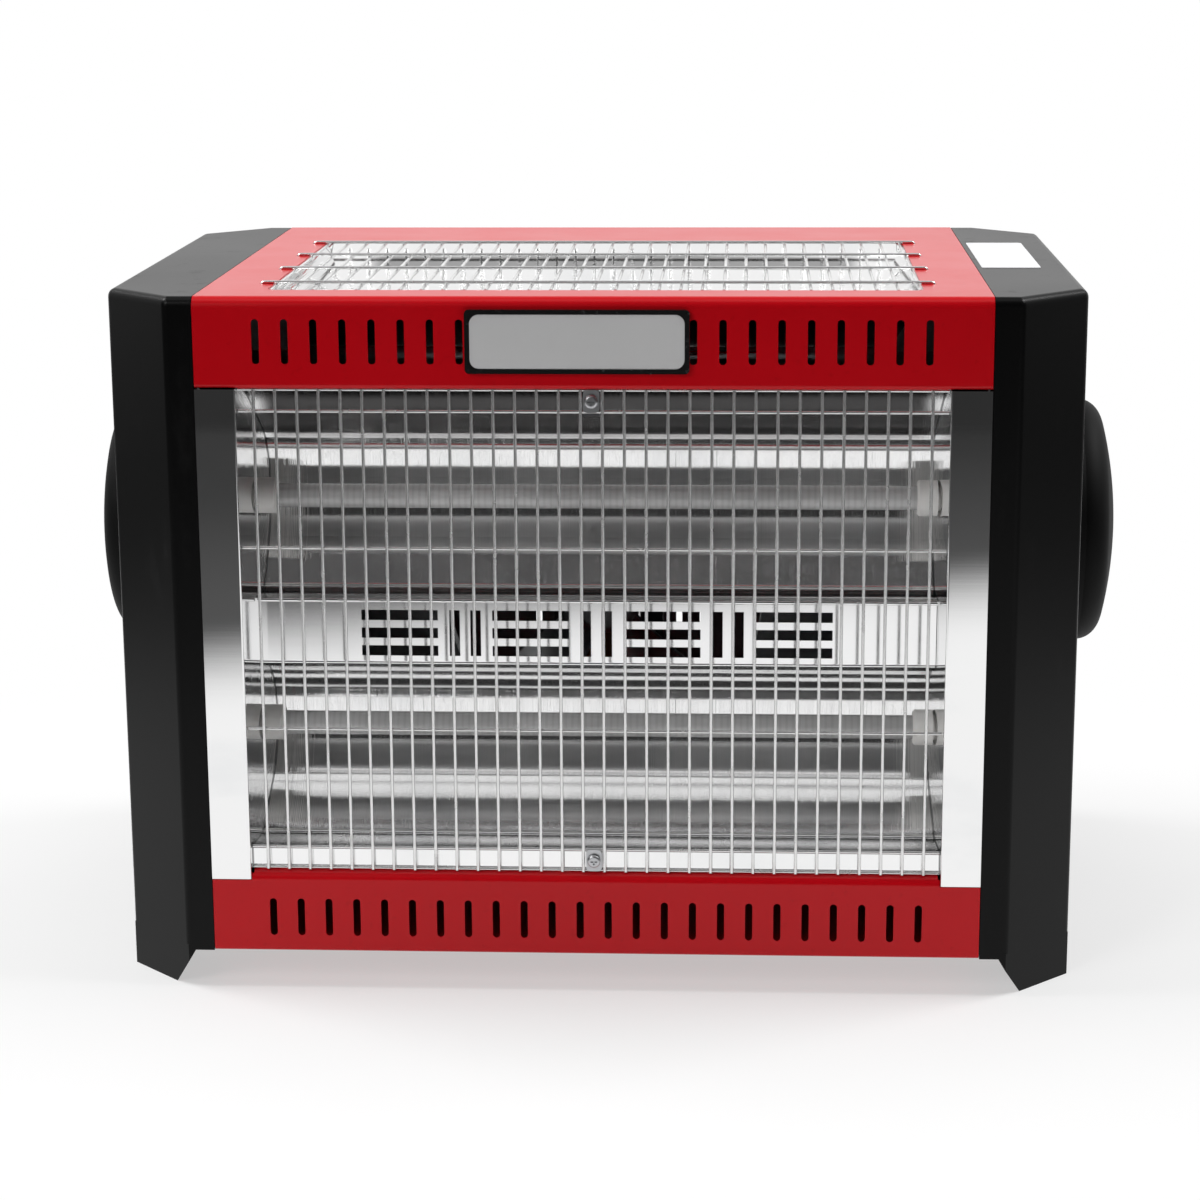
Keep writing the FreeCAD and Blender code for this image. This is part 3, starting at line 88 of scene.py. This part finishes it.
PAPER_SIDE = (0.70, 0.90)
SHADOW_EDGE = (0.28, 0.62)
SHADOW_STRETCH = 1.5
WHITE = (1, 1, 1, 1)
LAMP_TARGET = (0.0, 0.0, 0.2)
SOFTBOX = (1.2, 0.8)
FILL_BOX = (0.9, 0.9)
CAMERA_SPOT = (0.07025, -1.454, 0.4991)
CAMERA_PITCH, CAMERA_YAW, CAMERA_ROLL = 13.26, -2.93, -0.32
CAMERA_LENS = 87.015
CAMERA_SENSOR = 36.0


class Flow:
    """One output of a shader node; arithmetic on it adds Math nodes."""

    def __init__(self, tree, socket=None):
        self.tree = tree
        self.socket = socket

    def node(self, kind, settings=None, sockets=None, out=0):
        made = self.tree.nodes.new(kind)
        for name, value in (settings or {}).items():
            setattr(made, name, value)
        for name, value in (sockets or {}).items():
            if isinstance(value, Flow):
                self.tree.links.new(value.socket, made.inputs[name])
            else:
                made.inputs[name].default_value = value
        return Flow(self.tree, made.outputs[out] if made.outputs else None)

    def math(self, operation, *values):
        return self.node("ShaderNodeMath", {"operation": operation}, dict(enumerate(values)))

    def __add__(self, other):
        return self.math("ADD", self, other)

    def __sub__(self, other):
        return self.math("SUBTRACT", self, other)

    def __rsub__(self, other):
        return self.math("SUBTRACT", other, self)

    def __mul__(self, other):
        return self.math("MULTIPLY", self, other)

    def __abs__(self):
        return self.math("ABSOLUTE", self)

    __radd__ = __add__
    __rmul__ = __mul__

    def most(self, other):
        return self.math("MAXIMUM", self, other)

    def between(self, low, high):
        """0 below low, 1 above high, smooth in between."""
        return self.node(
            "ShaderNodeMapRange", {"interpolation_type": "SMOOTHSTEP"},
            {"Value": self, "From Min": low, "From Max": high},
        )

    def blend(self, first, second):
        """Colour mix with this value as the factor."""
        pair = [c if isinstance(c, Flow) else (*c, 1.0) for c in (first, second)]
        return self.node(
            "ShaderNodeMix", {"data_type": "RGBA"}, {0: self, 6: pair[0], 7: pair[1]}, out=2
        )

    def place(self, scale=(1, 1, 1)):
        """Position in the part's own frame in metres, stretched per axis."""
        spot = self.node("ShaderNodeTexCoord", out="Object")
        if scale == (1, 1, 1):
            return spot
        return self.node("ShaderNodeVectorMath", {"operation": "MULTIPLY"}, {0: spot, 1: scale})

    def axis(self, letter):
        return self.node("ShaderNodeSeparateXYZ", sockets={0: self.place()}, out=letter)

    def stripes(self, letter, pitch):
        return self.math("SINE", self.axis(letter) * (2 * math.pi / pitch))

    def noise(self, scale, stretch=(1, 1, 1), detail=3.0, rough=0.5):
        return self.node(
            "ShaderNodeTexNoise", None,
            {"Vector": self.place(stretch), "Scale": scale, "Detail": detail, "Roughness": rough},
        )

    def cells(self, scale, out="Distance"):
        return self.node(
            "ShaderNodeTexVoronoi", None, {"Vector": self.place(), "Scale": scale}, out=out
        )

    def bump(self, height, strength, distance, normal=None):
        sockets = {"Height": height, "Strength": strength, "Distance": distance}
        if normal:
            sockets["Normal"] = normal
        return self.node("ShaderNodeBump", None, sockets)


def finish(name, fixed, draw):
    """Material whose fixed values sit on the shader and whose varying ones come from draw."""
    material = bpy.data.materials.new(name)
    material.use_nodes = True
    tree = material.node_tree
    shader = tree.nodes["Principled BSDF"]
    for socket, value in fixed.items():
        shader.inputs[socket].default_value = value
    for socket, value in draw(Flow(tree)).items():
        tree.links.new(value.socket, shader.inputs[socket])
    return material


def red_enamel(f):
    tint = f.noise(7.0, detail=2.0)
    specks = f.noise(260.0, detail=2.0).between(0.62, 0.78)
    colour = tint.blend((0.545, 0.0012, 0.0055), (0.600, 0.0020, 0.0085))
    colour = (specks * 0.35).blend(colour, (0.44, 0.001, 0.004))
    height = f.axis("Z")
    # Painted shade: the tab between the base and the hood is drawn dark grey, not red, where it
    # lies in shade behind the clip.
    painted_shade_tab = height.between(*OVER_BASE) * (1 - height.between(*UNDER_HOOD))
    colour = painted_shade_tab.blend(colour, (0.10, 0.10, 0.105))
    peel = f.noise(420.0, detail=2.0)
    haze = f.noise(24.0, detail=4.0)
    return {
        "Base Color": colour,
        "Roughness": 0.24 + haze * 0.12,
        "Normal": f.bump(peel, 0.06, 0.0002),
    }


def grained_black(f):
    grain = f.cells(1150.0)
    scuff = f.noise(46.0, (1, 1, 0.35), detail=6.0, rough=0.7).between(0.56, 0.78)
    colour = scuff.blend((0.0022, 0.0022, 0.0023), (0.0060, 0.0060, 0.0062))
    outer = abs(f.axis("X")).between(*DOME_SEAT)
    return {
        "Base Color": colour,
        "Roughness": 0.30 + 0.10 * scuff + 0.06 * f.noise(9.0) + 0.28 * outer,
        "Normal": f.bump(grain, 0.08, 0.00012),
    }


def polished_sheet(f):
    """Mirror sheet, drawn across in the troughs, with a seam beside the strips, painted shade
    darkening the upper trough towards its top and a painted grey band in the top trough.
    """
    streak = f.noise(70.0, (0.06, 1, 6.0), detail=5.0, rough=0.65)
    smear = f.noise(15.0, (1, 1, 2.0), detail=4.0).between(0.45, 0.75)
    wave = f.noise(3.0, (1.0, 1, 1.2), detail=1.0)
    side = abs(f.axis("X"))
    strip = side.between(*STRIP_EDGE)
    reach = side + SEAM_SLANT * (f.axis("Y") - FRONT_FACE)
    seam = 0.5 * reach.between(*SEAM_START) * (1 - reach.between(*SEAM_END))
    colour = smear.blend((0.88, 0.88, 0.88), (0.82, 0.825, 0.83))
    colour = seam.blend(colour, (0.03, 0.03, 0.03))
    height = f.axis("Z") + 0.004 * f.noise(9.0)
    on_top = height.between(*TOP_TROUGH)
    # Painted shade: a grey band across the top trough's back slant stands in for the darker
    # reflection there.
    top_shade_band = height.between(*TOP_SHADE_START) * (1 - height.between(*TOP_SHADE_END))
    colour = (top_shade_band * (1 - side.between(*TOP_SHADE_REACH))).blend(colour, (0.36, 0.36, 0.36))
    # Painted shade: the upper trough is darkened to grey and then nearly black towards its top.
    upper_shade_zone = (1 - on_top) * (1 - side.between(*UPPER_SHADE_REACH))
    colour = (upper_shade_zone * height.between(*UPPER_SHADE_START)).blend(colour, (0.50, 0.49, 0.49))
    colour = (upper_shade_zone * height.between(*UPPER_DARK_START)).blend(colour, (0.022, 0.020, 0.020))
    dents = f.bump(wave, 0.12, 0.004)
    drawn = (1 - strip) * (1 - 0.65 * on_top)
    grain = f.noise(2200.0, (1, 0, 0), detail=1.0) * drawn
    return {
        "Base Color": colour,
        "Roughness": (0.045 + 0.02 * streak + 0.02 * smear) * (1 - 0.3 * strip),
        "Normal": f.bump(grain, 0.9, 0.0001, f.bump(streak, 0.010, 0.0002, dents)),
    }


def clear_sheet(f):
    """Smoother mirror sheet of the vent plate and the rolled lip."""
    rub = f.noise(40.0, (0.15, 1, 3.0), detail=4.0, rough=0.6)
    haze = f.noise(11.0, (1, 1, 2.0), detail=3.0)
    return {
        "Base Color": haze.blend((0.90, 0.90, 0.90), (0.84, 0.84, 0.845)),
        "Roughness": 0.05 + 0.03 * haze + 0.02 * rub,
        "Normal": f.bump(rub, 0.02, 0.0002),
    }


def plated_wire(f):
    stain = f.noise(60.0, detail=4.0).between(0.52, 0.76)
    draw_lines = f.noise(900.0, (1, 1, 0.05), detail=2.0)
    return {
        "Base Color": stain.blend((0.80, 0.80, 0.80), (0.66, 0.655, 0.65)),
        "Roughness": 0.22 + 0.12 * stain,
        "Normal": f.bump(draw_lines, 0.05, 0.0001),
    }


def milky_quartz(f):
    turns = f.stripes("X", HEATER_TURN)
    cloud = f.noise(38.0, (0.4, 1, 1), detail=4.0).between(0.35, 0.7)
    colour = cloud.blend((0.46, 0.46, 0.46), (0.60, 0.60, 0.60))
    colour = (turns.between(-0.2, 0.9) * 0.16).blend(colour, (0.20, 0.19, 0.18))
    draw_lines = f.noise(700.0, (0.02, 1, 1), detail=2.0)
    return {
        "Base Color": colour,
        "Roughness": 0.20 + 0.12 * cloud,
        "Normal": f.bump(draw_lines, 0.05, 0.0002),
    }


def white_ceramic(f):
    pores = f.cells(620.0).between(0.10, 0.30)
    soot = f.noise(80.0, detail=4.0).between(0.50, 0.80)
    colour = soot.blend((0.88, 0.87, 0.85), (0.76, 0.745, 0.71))
    return {
        "Base Color": colour,
        "Roughness": 0.48 + 0.15 * soot,
        "Normal": f.bump(pores, 0.20, 0.0002),
    }


def galvanised(f):
    spangle = f.cells(150.0, out="Color")
    value = f.node("ShaderNodeSeparateColor", None, {0: spangle}, out=0)
    rub = f.noise(30.0, (0.2, 1, 1), detail=5.0)
    return {
        "Base Color": value.blend((0.50, 0.515, 0.525), (0.58, 0.595, 0.605)),
        "Roughness": 0.30 + 0.14 * value + 0.06 * rub,
        "Normal": f.bump(rub, 0.05, 0.0004),
    }


def zinc_plated(f):
    rub = f.noise(240.0, detail=3.0)
    return {
        "Base Color": rub.blend((0.58, 0.58, 0.60), (0.44, 0.45, 0.46)),
        "Roughness": 0.26 + 0.16 * rub,
        "Normal": f.bump(rub, 0.06, 0.0002),
    }


def silver_foil(f):
    brush = f.noise(60.0, (1, 1, 45.0), detail=4.0, rough=0.6)
    fade = f.noise(18.0, detail=2.0)
    return {
        "Base Color": fade.blend((0.68, 0.68, 0.68), (0.74, 0.74, 0.745)),
        "Roughness": 0.34 + 0.14 * brush,
        "Normal": f.bump(brush, 0.05, 0.0001),
    }


def gloss_black(f):
    dust = f.noise(340.0, detail=3.0).between(0.60, 0.80)
    return {
        "Base Color": dust.blend((0.008, 0.008, 0.008), (0.030, 0.030, 0.031)),
        "Roughness": 0.20 + 0.20 * dust,
        "Normal": f.bump(f.noise(260.0), 0.04, 0.0002),
    }


def marked_rocker(f):
    """Black rocker with a printed bar at one end and a ring at the other."""
    look = gloss_black(f)
    along = f.axis("Y")
    across = f.math("WRAP", f.axis("Z") - ROCKER_Z, ROCKER_HALF, -ROCKER_HALF)
    slim = 1 - abs(across).between(*MARK_EDGE)
    bar = slim * (1 - abs(along + MARK_PLACE).between(*BAR_END))
    ahead = along - MARK_PLACE
    radius = f.math("SQRT", ahead * ahead + across * across)
    ring = 1 - abs(radius - RING_RADIUS).between(*MARK_EDGE)
    look["Base Color"] = bar.most(ring).blend(look["Base Color"], (0.70, 0.70, 0.69))
    return look


def label_film(f):
    crease = f.noise(26.0, (1, 0.4, 1), detail=3.0)
    return {
        "Base Color": crease.blend((0.70, 0.70, 0.72), (0.80, 0.80, 0.81)),
        "Roughness": 0.30 + 0.12 * crease,
        "Normal": f.bump(crease, 0.10, 0.0006),
    }


def dull_wire(f):
    scale = f.noise(500.0, detail=3.0)
    return {
        "Base Color": scale.blend((0.20, 0.19, 0.18), (0.34, 0.32, 0.30)),
        "Roughness": 0.45 + 0.2 * scale,
    }


def spun_aluminium(f):
    swirl = f.noise(210.0, (1, 0.2, 1), detail=3.0)
    return {
        "Base Color": swirl.blend((0.62, 0.62, 0.63), (0.74, 0.74, 0.75)),
        "Roughness": 0.28 + 0.14 * swirl,
        "Normal": f.bump(swirl, 0.05, 0.0002),
    }


def stacked_laminations(f):
    leaf = f.stripes("Y", LAMINATION)
    rust = f.noise(70.0, detail=4.0).between(0.55, 0.8)
    return {
        "Base Color": rust.blend((0.16, 0.16, 0.165), (0.15, 0.09, 0.06)),
        "Roughness": 0.36 + 0.2 * rust,
        "Normal": f.bump(leaf, 0.25, 0.0001),
    }


def wound_copper(f):
    strand = f.stripes("X", STRAND)
    varnish = f.noise(50.0, detail=3.0)
    return {
        "Base Color": varnish.blend((0.38, 0.15, 0.055), (0.48, 0.22, 0.09)),
        "Roughness": 0.28 + 0.14 * varnish,
        "Normal": f.bump(strand, 0.4, 0.0002),
    }


def cast_zinc(f):
    pits = f.noise(360.0, detail=4.0)
    return {
        "Base Color": pits.blend((0.46, 0.46, 0.46), (0.58, 0.58, 0.575)),
        "Roughness": 0.42 + 0.16 * pits,
        "Normal": f.bump(pits, 0.14, 0.0003),
    }


def soft_rubber(f):
    bloom = f.noise(120.0, detail=4.0)
    return {
        "Base Color": bloom.blend((0.012, 0.012, 0.012), (0.026, 0.026, 0.027)),
        "Roughness": 0.62 + 0.18 * bloom,
        "Normal": f.bump(f.noise(900.0), 0.10, 0.0002),
    }


def cream_moulding(f):
    mottle = f.noise(160.0, detail=3.0)
    return {
        "Base Color": mottle.blend((0.70, 0.67, 0.58), (0.78, 0.75, 0.67)),
        "Roughness": 0.40 + 0.14 * mottle,
        "Normal": f.bump(mottle, 0.06, 0.0002),
    }


METAL = {"Metallic": 1.0}
FINISHES = {
    "red_paint": (
        red_enamel, {"Coat Weight": 0.18, "Coat Roughness": 0.07, "Specular IOR Level": 0.14}
    ),
    "black_plastic": (grained_black, {"Specular IOR Level": 0.14}),
    "mirror_steel": (polished_sheet, METAL),
    "plated_wire": (plated_wire, {"Metallic": 0.82}),
    "screw_steel": (zinc_plated, METAL),
    "galvanised_sheet": (galvanised, METAL),
    "badge_silver": (silver_foil, {"Metallic": 0.15}),
    "badge_black": (gloss_black, {"Coat Weight": 0.4}),
    "sticker_film": (label_film, {}),
    "milky_quartz": (milky_quartz, {"Coat Weight": 0.6, "Coat Roughness": 0.06}),
    "heating_wire": (dull_wire, METAL),
    "white_ceramic": (white_ceramic, {}),
    "fan_aluminium": (spun_aluminium, METAL),
    "laminations": (stacked_laminations, {"Metallic": 0.8}),
    "copper_winding": (wound_copper, {"Coat Weight": 0.5}),
    "zinc_casting": (cast_zinc, METAL),
    "gland_rubber": (soft_rubber, {}),
    "block_plastic": (cream_moulding, {}),
    "switch_black": (gloss_black, {}),
    "rocker_black": (marked_rocker, {"Coat Weight": 0.3}),
}


def dress_nodes():
    made = {slot: finish(slot, fixed, draw) for slot, (draw, fixed) in FINISHES.items()}
    for entry in frame["record"]["subparts"]:
        mesh = nodes[entry["node"]].data
        mesh.materials.clear()
        mesh.materials.append(made[entry["material_slot"]])
    nodes["vent_plate"].data.materials[0] = finish("vent_steel", METAL, clear_sheet)


def run_along(name, outline, half):
    """Closed outline of (y, z) points drawn out from -half to half in X."""
    form = bmesh.new()
    ends = [[form.verts.new((x, y, z)) for y, z in outline] for x in (-half, half)]
    count = len(outline)
    for i in range(count):
        j = (i + 1) % count
        form.faces.new((ends[0][i], ends[0][j], ends[1][j], ends[1][i])).smooth = True
    caps = [form.faces.new(ends[0][::-1]), form.faces.new(ends[1])]
    bmesh.ops.triangulate(form, faces=caps)
    bmesh.ops.recalc_face_normals(form, faces=form.faces)
    mesh = bpy.data.meshes.new(name)
    form.to_mesh(mesh)
    form.free()
    mesh.set_sharp_from_angle(angle=math.radians(SHARP_ANGLE))
    piece = bpy.data.objects.new(name, mesh)
    scene.collection.objects.link(piece)
    return piece


def lip_curl():
    """Rolled front edge of the upper trough's lip."""
    vent_low, vent_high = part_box("vent_plate")
    front, under = vent_low[1] - LIP_REACH, vent_high[2]
    middle = under + LIP_SHEET - CURL_RADIUS
    arc = [math.radians(90 + CURL_SWEEP * i / CURL_STEPS) for i in range(CURL_STEPS + 1)]
    rings = [(CURL_RADIUS, arc), (CURL_RADIUS - LIP_SHEET, arc[::-1])]
    outline = [
        (front - LIP_CLEAR + radius * math.cos(turn), middle + radius * math.sin(turn))
        for radius, turns in rings for turn in turns
    ]
    curl = run_along("upper_lip_curl", outline, CURL_HALF)
    curl.data.materials.append(nodes["vent_plate"].data.materials[0])
    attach(curl, "casing")


def studio():
    """White behind the object and in a soft ceiling patch, dim on the camera's side."""
    world = bpy.data.worlds.new("studio")
    scene.world = world
    world.use_nodes = True
    tree = world.node_tree
    tree.nodes.clear()
    f = Flow(tree)
    way = f.node("ShaderNodeTexCoord", out="Generated")
    toward_back = f.node("ShaderNodeSeparateXYZ", sockets={0: way}, out="Y")
    upward = f.node("ShaderNodeSeparateXYZ", sockets={0: way}, out="Z")
    wall = toward_back.between(0.05, 0.40) * (1 - 0.65 * upward.between(0.30, 0.75))
    ceiling = upward.between(0.88, 0.95) * (1 - toward_back.between(0.05, 0.25))
    dim = 0.03 + 0.05 * upward.between(0.2, 0.9)
    room = dim + wall.most(ceiling) * (1 - dim)
    ray = f.node("ShaderNodeLightPath", out="Is Camera Ray")
    level = ray + (1 - ray) * room
    glow = f.node("ShaderNodeBackground", None, {"Strength": level, "Color": WHITE})
    f.node("ShaderNodeOutputWorld", None, {"Surface": glow})


def floor_sheet():
    """Pale paper that takes the shadow near the object and turns to plain white away from it."""
    material = bpy.data.materials.new("floor_paper")
    material.use_nodes = True
    tree = material.node_tree
    tree.nodes.clear()
    f = Flow(tree)
    across, along = f.axis("X"), f.axis("Y")
    edge = along + PAPER_SLANT * across + PAPER_FRONT
    near = edge.between(*PAPER_EDGE) * (1 - abs(across).between(*PAPER_SIDE))
    ground = edge.between(-0.70, -0.10).blend((0.045, 0.045, 0.045), (0.075, 0.075, 0.075))
    sheet = f.noise(14.0, detail=2.0).blend((0.86, 0.86, 0.86), (0.88, 0.88, 0.88))
    paper = f.node("ShaderNodeBsdfDiffuse", None, {"Color": near.blend(ground, sheet)})
    white = f.node("ShaderNodeEmission", None, {"Color": WHITE, "Strength": 1.0})
    distance = f.math("SQRT", across * across + SHADOW_STRETCH * along * along)
    away = distance.between(*SHADOW_EDGE)
    camera, glossy, through = (
        f.node("ShaderNodeLightPath", out=ray)
        for ray in ("Is Camera Ray", "Is Glossy Ray", "Is Transmission Ray")
    )
    share = camera * (0.50 + 0.50 * away) + glossy.most(through) * near * (0.70 + 0.30 * away)
    mixed = f.node("ShaderNodeMixShader", None, {0: share, 1: paper, 2: white})
    f.node("ShaderNodeOutputMaterial", None, {"Surface": mixed})
    mesh = bpy.data.meshes.new("floor")
    front = [(FLOOR_LEFT, FLOOR_FRONT, 0), (FLOOR_RIGHT, FLOOR_FRONT, 0)]
    back = [(FLOOR_RIGHT, FLOOR_BACK, 0), (FLOOR_LEFT, FLOOR_BACK, 0)]
    mesh.from_pydata(front + back, [], [(0, 1, 2, 3)])
    floor = bpy.data.objects.new("floor", mesh)
    scene.collection.objects.link(floor)
    mesh.materials.append(material)


def lamp(name, spot, size, watts):
    light = bpy.data.lights.new(name, "AREA")
    light.shape = "RECTANGLE"
    light.size, light.size_y = size
    light.energy = watts
    holder = bpy.data.objects.new(name, light)
    holder.location = spot
    aim = Vector(LAMP_TARGET) - Vector(spot)
    holder.rotation_euler = aim.to_track_quat("-Z", "Y").to_euler()
    scene.collection.objects.link(holder)


def photo_camera():
    pitch, yaw, roll = (math.radians(a) for a in (CAMERA_PITCH, CAMERA_YAW, CAMERA_ROLL))
    flat = math.cos(pitch)
    ahead = Vector((math.sin(yaw) * flat, math.cos(yaw) * flat, -math.sin(pitch)))
    level = Vector((math.cos(yaw), -math.sin(yaw), 0))
    upright = level.cross(ahead)
    right = level * math.cos(roll) + upright * math.sin(roll)
    up = right.cross(ahead)
    data = bpy.data.cameras.new("photo_camera")
    data.lens = CAMERA_LENS
    data.sensor_width = CAMERA_SENSOR
    camera = bpy.data.objects.new("photo_camera", data)
    turn = Matrix((right, up, -ahead)).transposed().to_4x4()
    camera.matrix_world = Matrix.Translation(CAMERA_SPOT) @ turn
    scene.collection.objects.link(camera)
    scene.camera = camera


dress_nodes()
lip_curl()
studio()
floor_sheet()
lamp("left_softbox", (-1.5, 0.15, 1.9), SOFTBOX, 32.0)
lamp("right_softbox", (1.5, 0.15, 1.9), SOFTBOX, 32.0)
lamp("front_fill", (-1.2, -1.7, 1.3), FILL_BOX, 13.0)
photo_camera()
